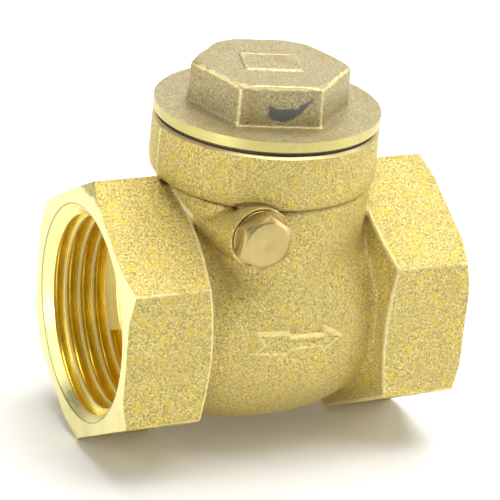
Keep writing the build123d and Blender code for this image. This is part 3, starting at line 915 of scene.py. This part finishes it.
def pipe_thread(side, material):
    """The rib that cuts the G 1 thread of one end, from past its face to the stop."""
    flank = math.tan(math.radians(27.5))
    apex = THREAD_MAJOR_R + 0.374
    foot = THREAD_MINOR_R - 0.15
    root = THREAD_MAJOR_R - 0.22
    half = [((apex - foot) * flank, foot), ((apex - root) * flank, root), (0.17, THREAD_MAJOR_R - 0.05)]
    section = [(-offset, radius) for offset, radius in half] + [(0.0, THREAD_MAJOR_R)] + half[::-1]
    start = -BODY_HALF - THREAD_PITCH
    end = -SOCKET_STOP_X - 1.1
    phase = CREST_ANGLE - 2 * math.pi * (CREST_X + THREAD_PITCH / 2 - start) / THREAD_PITCH
    rib = thread_rib(f"thread_tool_{side}", section, THREAD_PITCH, start, end, "X", material, phase)
    if side > 0:
        rib.data.transform(Matrix.Rotation(math.pi, 4, "Z"))
    return rib


def hollow_cutter(material):
    """The chamber: a round cavity on the pipe axis, and a well up through the neck."""
    along = np.linspace(CAVITY_START_X, CAVITY_END_X, 25)
    bow = (CAVITY_R - CAVITY_EDGE_R) / CAVITY_START_X**2
    wall = [(x, CAVITY_R - bow * x * x) for x in along]
    cavity = lathe("hollow_tool", capped(*wall), "X", material, segments=96)
    well = rod("well_tool", WELL_R, WELL_FOOT_Z, BOSS_TOP_Z + 2, "Z", material, segments=96)
    wall_low = np.array([-WELL_R * 2, -WELL_R * 2, WELL_FOOT_Z - 1])
    bulkhead = box_solid("bulkhead", wall_low, (CAVITY_START_X, WELL_R * 2, BULKHEAD_TOP_Z), material)
    return add(cavity, cut(well, bulkhead))


def box_solid(name, low, high, material):
    """A plain box used only to cut with."""
    corners = [(x, y, z) for x in (low[0], high[0]) for y in (low[1], high[1]) for z in (low[2], high[2])]
    faces = [(0, 1, 3, 2), (4, 6, 7, 5), (0, 4, 5, 1), (2, 3, 7, 6), (0, 2, 6, 4), (1, 5, 7, 3)]
    return face_outwards(mesh_object(name, corners, faces, material))


def rod(name, radius, start, end, axis, material, centre=(0, 0, 0), segments=72):
    """A cylinder from start to end along an axis."""
    return lathe(name, capped((start, radius), (end, radius)), axis, material, centre, segments)


def bonnet_thread(name, minor, major, start, end, material):
    """The M30 x 1.5 rib, as cut or as left standing."""
    half_root = BONNET_PITCH * 7 / 16
    half_crest = BONNET_PITCH / 16
    lip = half_root + (0.05 if minor < major else 0)
    section = [(-lip, minor - 0.05), (-half_crest, major), (half_crest, major), (lip, minor - 0.05)]
    return thread_rib(name, section, BONNET_PITCH, start, end, "Z", material, fade=0.4)


def make_body():
    """The forged body, machined at its ends, seat, bonnet thread and pin holes."""
    skin = blasted_brass()
    faced = machined_brass("faced_brass", "X", colour=(0.90, 0.83, 0.42), roughness=0.46, extra=black_corner)
    mouth = machined_brass("mouth_brass", "X", colour=(0.92, 0.84, 0.36), roughness=0.32, extra=mouth_smear_and_edge_shade)
    threaded = thread_brass()
    rough = cast_brass("chamber_brass", (0.55, 0.44, 0.20))
    bored = machined_brass("bored_brass", "Z", colour=(0.80, 0.66, 0.33), roughness=0.3)
    spot = machined_brass("spot_face_brass", "Y", PIN_AT, (0.74, 0.58, 0.24), 0.25)
    low = (-BODY_HALF - 1.2, -21.2, -23.2)
    high = (BODY_HALF + 1.2, 21.2, BOSS_TOP_Z + 1.4)
    step = 0.3
    body = field_mesh("valve_body_forging", body_field, low, high, step, skin)
    refine(body, *ARROW_BOX, lambda x, y, z: body_field(x, y, z, arrow=True))
    wear_arrow(body, blasted_brass("worn_brass", 0.55))
    cut(body, hollow_cutter(rough))
    ear_end = WELL_R + 0.6
    ears = [rod("ear", EAR_R, *span, "Y", rough, PIN_AT) for span in ((-ear_end, -EAR_Y), (EAR_Y, ear_end))]
    add(body, *ears, rod("seat_ring", SEAT_OUTER_R, CAVITY_START_X - 0.3, SEAT_X, "X", faced, segments=144))
    for side in (-1, 1):
        cut(body, face_cutter(side, faced), bore_cutter(side, threaded))
        cut(body, pipe_thread(side, threaded), mouth_cutter(side, mouth))
    minor, major = BONNET_MINOR_R + BONNET_CLEARANCE, BONNET_MAJOR_R + BONNET_CLEARANCE
    cut(
        body,
        rod("seat_tool", SEAT_R, -BODY_HALF, SEAT_X + 1, "X", bored, segments=144),
        rod("outlet_tool", OUTLET_R, 0, BODY_HALF, "X", bored, segments=144),
        top_cutter(bored),
        rod("bonnet_tool", minor, BOSS_TOP_Z - 6.4, BOSS_TOP_Z + 1, "Z", bored, segments=144),
        bonnet_thread("bonnet_thread_tool", minor, major, BOSS_TOP_Z - 6.0, BOSS_TOP_Z + 1.4, bored),
        rod("spot_tool", SPOT_FACE_R, -25, SPOT_FACE_Y, "Y", spot, PIN_AT, 96),
        rod("plug_tool", PLUG_HOLE_R, -25, PLUG_HOLE_END_Y, "Y", spot, PIN_AT),
        rod("pin_tool", PIN_HOLE_R, -20, PIN_HOLE_END_Y, "Y", spot, PIN_AT),
    )
    crisp_edges(body)
    return finish(body, "valve", "valve_body")


def top_cutter(material):
    """The facing cut across the boss, with its outer edge broken."""
    far = BOSS_R + 2
    edge = 0.35
    outline = capped((BOSS_TOP_Z, BOSS_RIM_R - edge), (BOSS_TOP_Z - edge * 3, BOSS_RIM_R + edge * 2),
                     (BOSS_TOP_Z - edge * 3, far), (BOSS_TOP_Z + 3, far))
    return lathe("boss_top_tool", outline, "Z", material)


def crisp_edges(piece, machined_degrees=14, forged_degrees=50):
    """Keeps edges sharp where a tool cut, and soft on the forged skin, the first material."""
    edit = bmesh.new()
    edit.from_mesh(piece.data)
    for face in edit.faces:
        face.smooth = True
    for edge in edit.edges:
        if len(edge.link_faces) != 2:
            continue
        one, other = (f.material_index for f in edge.link_faces)
        limit = forged_degrees if one == 0 and other == 0 else machined_degrees
        edge.smooth = edge.calc_face_angle(0.0) < math.radians(limit)
    edit.to_mesh(piece.data)
    edit.free()
    return piece


def finish(piece, body, node, sharp_degrees=None):
    """Puts a piece on its body in place of a CAD node, with edges kept sharp above any angle given."""
    if sharp_degrees:
        piece.data.shade_smooth()
        piece.data.set_sharp_from_angle(angle=math.radians(sharp_degrees))
    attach(piece, body)
    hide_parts(node)
    return piece


# ---------------------------------------------------------------- bonnet cap and gasket


def cap_field(x, y, z, badge=False):
    """The cap's forging: a flange and a soft-edged hexagon with its crown turned off."""
    radius = np.sqrt(x**2 + y**2)
    edge = 0.55
    lean = (z - FLANGE_TOP_Z) * 0.03
    sides = []
    for k in range(3):
        angle = CAP_HEX_TURN + math.radians(30 + 60 * k)
        sides.append(np.abs(x * math.cos(angle) + y * math.sin(angle)) - CAP_HEX_FLAT - 0.1 + lean)
    hexes = smooth_max(smooth_max(sides[0], sides[1], edge), sides[2], edge)
    top = z - CAP_HEX_TOP_Z
    crown = (top + (radius - CAP_FACE_R) * CAP_CROWN_SLOPE) / math.hypot(1, CAP_CROWN_SLOPE)
    hexes = smooth_max(hexes, smooth_max(top + 0 * radius, crown, 0.35), 0.22)
    flange = np.maximum(radius - FLANGE_R - 0.6, z - FLANGE_TOP_Z)
    whole = smooth_min(hexes, flange, 0.5)
    whole = np.maximum(whole, FLANGE_FOOT_Z - 0.9 - z)
    whole = whole - 0.04 * waviness(x, y, z, 4.6, 0.7) - 0.02 * waviness(x, y, z, 1.9, 2.9)
    if badge:
        whole = whole - badge_height(x, y) * (z > CAP_HEX_TOP_Z - 1.5)
    return whole


def badge_height(x, y):
    """The raised plate on the cap's top, plain but for a rim, in millimetres."""
    c, s = math.cos(BADGE_TURN), math.sin(BADGE_TURN)
    across, along = np.abs(x * c + y * s) - BADGE_HALF[0], np.abs(y * c - x * s) - BADGE_HALF[1]
    out = smooth_max(across, along, 0.8)
    plate = np.clip(-out / 0.3, 0, 1)
    rim = np.clip(1 - np.abs(out + 0.55) / 0.35, 0, 1)
    smooth = plate * plate * (3 - 2 * plate)
    return 0.16 * smooth + 0.13 * rim


def make_cap():
    """The screwed cap, with its rim and skirt turned and its thread cut."""
    skin = cap_brass()
    rim = machined_brass("rim_brass", "Z", colour=(0.62, 0.55, 0.20), roughness=0.33)
    threaded = machined_brass("cap_thread_brass", "Z", colour=(0.80, 0.64, 0.30), roughness=0.28)
    reach = FLANGE_R + 1.2
    step = 0.25
    low, high = (-reach, -reach, FLANGE_FOOT_Z - 1.5), (reach, reach, CAP_HEX_TOP_Z + 0.9)
    cap = field_mesh("bonnet_cap_forging", cap_field, low, high, step, skin)
    badge_box = (-6.4, -6.4, CAP_HEX_TOP_Z - 0.5), (6.4, 6.4, CAP_HEX_TOP_Z + 0.6)
    refine(cap, *badge_box, lambda x, y, z: cap_field(x, y, z, badge=True))
    far = FLANGE_R + 8
    envelope = capped((FLANGE_FOOT_Z, FLANGE_R - 0.16), (FLANGE_FOOT_Z + 0.16, FLANGE_R),
                      (FLANGE_TOP_Z + 0.5, FLANGE_R), (FLANGE_TOP_Z + 0.5, far), (CAP_HEX_TOP_Z + 5, far))
    join_shapes(cap, "INTERSECT", lathe("rim_tool", envelope, "Z", rim, segments=256))
    crest = BONNET_MAJOR_R - BONNET_CLEARANCE
    root = crest - 0.92
    skirt = capped((SKIRT_END_Z, root - 0.5), (SKIRT_END_Z + 0.5, root), (FLANGE_FOOT_Z + 0.4, root))
    thread = bonnet_thread("cap_thread", root, crest, BOSS_TOP_Z - 4.5, BOSS_TOP_Z - 0.3, threaded)
    add(cap, lathe("skirt", skirt, "Z", threaded, segments=144), thread)
    inside = capped((SKIRT_END_Z - 1, CAP_BORE_R), (CAP_BORE_TOP_Z, CAP_BORE_R),
                    (CAP_DOME_Z - 0.6, CAP_DOME_R + 0.5), (CAP_DOME_Z, CAP_DOME_R - 0.8))
    cut(cap, lathe("cap_bore_tool", inside, "Z", cast_brass("cap_inside_brass")))
    crisp_edges(cap)
    return finish(cap, "cap", "bonnet_cap")


def make_gasket():
    """The fibre ring, squeezed a little unevenly past the boss's edge."""
    outer, inner, round_off = GASKET_HIGH[0], BONNET_MAJOR_R + 0.06, 0.12
    section = [
        (BOSS_TOP_Z, inner), (BOSS_TOP_Z, outer - round_off), (BOSS_TOP_Z + round_off, outer),
        (FLANGE_FOOT_Z - round_off, outer), (FLANGE_FOOT_Z, outer - round_off), (FLANGE_FOOT_Z, inner),
    ]
    gasket = lathe("gasket_ring", section, "Z", fibre(), segments=256)
    points = vertices(gasket)
    radius = np.hypot(points[:, 0], points[:, 1])
    angle = np.arctan2(points[:, 1], points[:, 0])
    swell = 0.06 * np.sin(5 * angle + 1) + 0.04 * np.sin(11 * angle) + 0.02 * np.sin(29 * angle)
    grow = np.where(radius > outer - 0.5, 1 + swell / radius, 1.0)
    points[:, :2] *= grow[:, None]
    set_vertices(gasket, points)
    return finish(gasket, "gasket", "bonnet_gasket", 30)


# ---------------------------------------------------------------- pin plug, its ring and the pin


def hex_solid(name, flat, start, end, axis, material, centre=(0, 0, 0), turn=0.0):
    """A hexagonal bar whose corners are at `turn` and every 60 degrees on."""
    corner = flat * 2 / math.sqrt(3)
    angles = [turn + k * math.pi / 3 for k in range(6)]
    points = [(corner * math.cos(a), corner * math.sin(a), along) for along in (start, end) for a in angles]
    faces = [tuple(range(6))[::-1], tuple(range(6, 12))]
    faces += [(k, (k + 1) % 6, (k + 1) % 6 + 6, k + 6) for k in range(6)]
    return face_outwards(mesh_object(name, place(points, axis, centre), faces, material))


def bevelled(piece, width):
    """Rounds every edge sharper than 30 degrees, over a width in millimetres."""
    change = piece.modifiers.new("bevel", "BEVEL")
    change.width, change.segments = width * MM, 2
    change.limit_method, change.angle_limit = "ANGLE", math.radians(30)
    return apply_modifiers(piece)


def metric_thread(name, minor, major, pitch, start, end, axis, material, centre):
    """A plain 60 degree thread left standing on a shank."""
    section = [(-pitch * 0.42, minor - 0.05), (-pitch * 0.07, major), (pitch * 0.07, major),
               (pitch * 0.42, minor - 0.05)]
    return thread_rib(name, section, pitch, start, end, axis, material, fade=0.5, per_turn=48, centre=centre)


def make_plug():
    """The hexagon plug: a turned face, a chamfered crown and an M6 shank."""
    brass = machined_brass("plug_brass", "Y", PIN_AT, (0.54, 0.42, 0.165), 0.29, 0.16)
    face, foot = PLUG_LOW[1], PLUG_RING_LOW[1]
    corner = PLUG_HEX_FLAT * 2 / math.sqrt(3)
    turn = math.pi / 2 - PLUG_HEX_TURN
    head = hex_solid("pin_plug_head", PLUG_HEX_FLAT, face, foot, "Y", brass, PIN_AT, turn)
    crown = capped(
        (face + 0.07, 0.35), (face + 0.03, 0.6), (face, 0.9), (face, PLUG_FACE_R - 0.06),
        (face + 0.04, PLUG_FACE_R), (face + PLUG_CROWN_DROP, corner + 0.05), (foot - 0.15, corner + 0.05),
        (foot, corner - 0.15),
    )
    join_shapes(head, "INTERSECT", lathe("crown_tool", crown, "Y", brass, PIN_AT, 144))
    bevelled(head, 0.07)
    root, crest, end = 2.4, 2.85, PLUG_HIGH[1]
    shank = capped((foot - 0.4, root), (end - 0.4, root), (end, root - 0.4))
    thread = metric_thread("plug_thread", root, crest, 1.0, foot + 0.4, end - 0.6, "Y", brass, PIN_AT)
    add(head, lathe("plug_shank", shank, "Y", brass, PIN_AT, 72), thread)
    return finish(head, "plug", "pin_plug", 20)


def ring_section(start, end, inner, outer, round_off):
    """The section of a flat ring with its outer corners rounded."""
    bow = round_off * (1 - math.sqrt(0.5))
    return [
        (start, inner), (start, outer - round_off), (start + bow, outer - bow), (start + round_off, outer),
        (end - round_off, outer), (end - bow, outer - bow), (end, outer - round_off), (end, inner),
    ]


def make_plug_ring():
    """The sealing ring under the plug."""
    section = ring_section(PLUG_RING_LOW[1], SPOT_FACE_Y, 3.0, PLUG_RING_HIGH[0] - PIN_X, 0.14)
    ring = lathe("pin_plug_ring", section, "Y", copper(), PIN_AT, 144)
    return finish(ring, "plug_seal", "pin_plug_washer", 50)


def make_pin():
    """The ground hinge pin."""
    low, high = node_box("hinge_pin")
    radius, point = (high[2] - low[2]) / 2, 0.25
    outline = capped((low[1], radius - point), (low[1] + point, radius), (high[1] - point, radius),
                     (high[1], radius - point))
    pin = lathe("hinge_pin_ground", outline, "Y", steel(), PIN_AT, 72)
    return finish(pin, "pin", "hinge_pin", 30)


# ---------------------------------------------------------------- clapper


def arm_field(x, y, z):
    """The cast arm: hub, tapered web, eye and stop tail, run softly together."""
    hub = np.maximum(np.hypot(x - PIN_X, z - PIN_Z) - ARM_HUB_R, np.abs(y) - ARM_HUB_HALF)
    slope = (ARM_WEB_TOP_HALF - ARM_EYE_R) / PIN_Z
    web = np.abs(y) - ARM_EYE_R - np.clip(z, 0, PIN_Z) * slope
    web = np.maximum(np.maximum(web, -z), z - PIN_Z)
    eye = np.sqrt(y**2 + z**2) - ARM_EYE_R
    middle, half = (ARM_FACE_X + ARM_BACK_X) / 2, (ARM_BACK_X - ARM_FACE_X) / 2
    plate = smooth_max(np.minimum(web, eye), np.abs(x - middle) - half, 0.45)
    tail = smooth_max(np.abs(x - PIN_X) - 1.2, np.abs(y) - 2.5, 0.6)
    tail = smooth_max(tail, np.maximum(z - ARM_HIGH[2], PIN_Z - z), 0.9)
    whole = smooth_min(smooth_min(hub, plate, 0.9), tail, 0.8)
    return np.maximum(whole, np.abs(y) - ARM_HUB_HALF) - 0.03 * waviness(x, y, z, 3.1, 0.4)


def make_arm():
    """The swing arm, with its pin bore and eye drilled."""
    step = 0.22
    rough = cast_brass("arm_brass")
    arm = field_mesh("swing_arm_casting", arm_field, ARM_LOW - 0.6, ARM_HIGH + 0.6, step, rough)
    drilled = machined_brass("drilled_brass", "Y", PIN_AT, (0.80, 0.66, 0.34), 0.3)
    cut(arm, rod("arm_pin_tool", PIN_HOLE_R, -ARM_HUB_HALF - 2, ARM_HUB_HALF + 2, "Y", drilled, PIN_AT),
        rod("arm_eye_tool", STUD_R + 0.08, ARM_FACE_X - 2, ARM_BACK_X + 2, "X", drilled))
    crisp_edges(arm)
    return finish(arm, "clapper_arm", "swing_arm")


def make_holder():
    """The turned disc: its cup for the rubber, and its threaded stud."""
    brass = machined_brass("holder_brass", "X", colour=(0.78, 0.64, 0.32), roughness=0.32)
    back, end = -7.0, HOLDER_HIGH[0]
    lip, floor = HOLDER_LOW[0], RUBBER_X + 1.8
    rim, root = HOLDER_HIGH[1], 2.1
    outline = capped(
        (floor, RUBBER_R), (lip, RUBBER_R), (lip, rim - 0.15), (lip + 0.15, rim), (back - 0.7, rim),
        (back, rim - 0.7), (back, 7.5), (back + 0.05, 7.3), (back + 0.05, STUD_R + 0.4), (back + 0.2, STUD_R),
        (-4.2, STUD_R), (-3.9, root), (end - 0.3, root), (end, root - 0.3),
    )
    holder = lathe("disc_holder_turned", outline, "X", brass, segments=144)
    thread = metric_thread("stud_thread", root, STUD_R, 0.8, -4.0, end - 0.4, "X", brass, (0, 0, 0))
    cut(add(holder, thread), rod("screw_hole_tool", 1.25, floor - 1, -3.2, "X", brass))
    return finish(holder, "disc", "disc_holder", 20)


def make_rubber():
    """The rubber facing, with a moulded edge."""
    start, end, inner, soft = RUBBER_X, RUBBER_X + 1.8, 1.25, 0.35
    section = [
        (start, inner), (start, 9.3), (start, RUBBER_R - soft), (start + 0.1, RUBBER_R - 0.1),
        (start + soft, RUBBER_R), (end, RUBBER_R), (end, inner),
    ]
    disc = lathe("seat_disc_rubber", section, "X", rubber(), segments=144)
    return finish(disc, "disc", "seat_disc", 50)


def make_small_parts():
    """The washers, the slotted screw and the nut of the clapper."""
    brass = machined_brass("small_part_brass", "X", colour=(0.84, 0.71, 0.38), roughness=0.24)
    for node, made, hole, soft in (("seat_disc_washer", "turned", 1.3, 0.2),
                                   ("arm_washer", "pressed", STUD_R + 0.03, 0.12)):
        low, high = node_box(node)
        washer = lathe(f"{node}_{made}", ring_section(low[0], high[0], hole, high[1], soft), "X", brass)
        finish(washer, "disc", node, 50)
    low, high = node_box("seat_disc_screw")
    head_end, radius = low[0] + 1.8, high[1]
    outline = [(low[0], 0), (low[0] + 0.05, 1.2), (low[0] + 0.2, 2.1), (low[0] + 0.55, radius - 0.1),
               (low[0] + 0.8, radius), (head_end, radius), (head_end, 1.22), (high[0], 1.22), (high[0], 0)]
    screw = lathe("seat_disc_screw_slotted", outline, "X", brass, segments=96)
    slot = box_solid("slot_tool", (low[0] - 1, -5, -0.4), (low[0] + 0.9, 5, 0.4), brass)
    finish(cut(screw, slot), "disc", "seat_disc_screw", 25)
    return make_nut(brass)


def make_nut(brass):
    """The stud's hexagon nut."""
    start, end = NUT_LOW[0], NUT_HIGH[0]
    flat = min(NUT_HIGH[1], NUT_HIGH[2])
    corner = flat * 2 / math.sqrt(3)
    nut = hex_solid("arm_nut_milled", flat, start, end, "X", brass)
    crown = capped((start, corner - 0.2), (start + 0.15, corner + 0.05), (end - 0.45, corner + 0.02),
                   (end, flat - 0.05))
    join_shapes(nut, "INTERSECT", lathe("nut_crown_tool", crown, "X", brass, segments=96))
    hole = STUD_R + 0.02
    bore = capped((start - 1, hole), (end - 0.3, hole), (end + 0.1, hole + 0.4), (end + 1, hole + 0.4))
    cut(nut, lathe("nut_bore_tool", bore, "X", brass, segments=72))
    return finish(bevelled(nut, 0.06), "disc", "arm_nut", 20)


# ---------------------------------------------------------------- studio


def aim(item, target, roll=0.0):
    """Turns a camera or light at a target point."""
    forward = Vector(target) - item.location
    turn = forward.to_track_quat("-Z", "Y")
    item.rotation_euler = (turn.to_matrix() @ Matrix.Rotation(roll, 3, "Z")).to_euler()


def lamp(name, place_at, target, size, power):
    """A soft square light, placed in metres."""
    data = bpy.data.lights.new(name, "AREA")
    data.shape, data.size, data.energy = "SQUARE", size, power
    item = bpy.data.objects.new(name, data)
    bpy.context.scene.collection.objects.link(item)
    item.location = place_at
    aim(item, target)
    return item


def make_studio():
    """A pale floor that curves up behind, a white sky and the soft lights."""
    rise = 0.6
    rows = [(-0.30, 0.0), (0.45, 0.0)]
    rows += [(0.45 + rise * math.sin(t), rise * (1 - math.cos(t))) for t in np.linspace(0.1, math.pi / 2, 12)]
    rows.append((0.45 + rise, 2.0))
    turn = Matrix.Rotation(-CAMERA_AZIMUTH, 3, "Z")
    points = [turn @ Vector((side * 1.6, along, up)) for along, up in rows for side in (-1, 1)]
    points = [(p.x / MM, p.y / MM, p.z / MM + BODY_LOW[2]) for p in points]
    faces = [(2 * i, 2 * i + 1, 2 * i + 3, 2 * i + 2) for i in range(len(rows) - 1)]
    floor = mesh_object("studio_floor", points, faces, floor_paint())
    floor.data.shade_smooth()
    world = bpy.data.worlds.new("studio_sky")
    world.use_nodes = True
    sky = world.node_tree.nodes["Background"].inputs
    sky["Color"].default_value, sky["Strength"].default_value = (1, 1, 1, 1), SKY
    bpy.context.scene.world = world
    centre = (0, 0, 0.01)
    for name, (spot, size, power) in LAMPS.items():
        lamp(name, spot, centre, size, power)
    lamp("backdrop_light", (0.20, 0.35, 0.70), (0.45, 0.95, 0.0), 0.5, BACKDROP)


def make_camera():
    """A long lens from the inlet's front quarter, slightly above."""
    data = bpy.data.cameras.new("camera")
    data.lens, data.sensor_width, data.clip_start, data.clip_end = CAMERA_LENS, 36.0, 0.01, 20.0
    camera = bpy.data.objects.new("camera", data)
    bpy.context.scene.collection.objects.link(camera)
    level = math.cos(CAMERA_ELEVATION)
    across, behind = -math.sin(CAMERA_AZIMUTH) * level, -math.cos(CAMERA_AZIMUTH) * level
    back = Vector((across, behind, math.sin(CAMERA_ELEVATION)))
    camera.location = Vector(CAMERA_TARGET) + back * CAMERA_DISTANCE
    aim(camera, CAMERA_TARGET, CAMERA_ROLL)
    bpy.context.scene.camera = camera


bpy.context.scene.view_settings.view_transform = "Standard"
for make in (make_camera, make_studio, make_body, make_cap, make_gasket, make_plug, make_plug_ring, make_pin,
             make_arm, make_holder, make_rubber, make_small_parts):
    make()
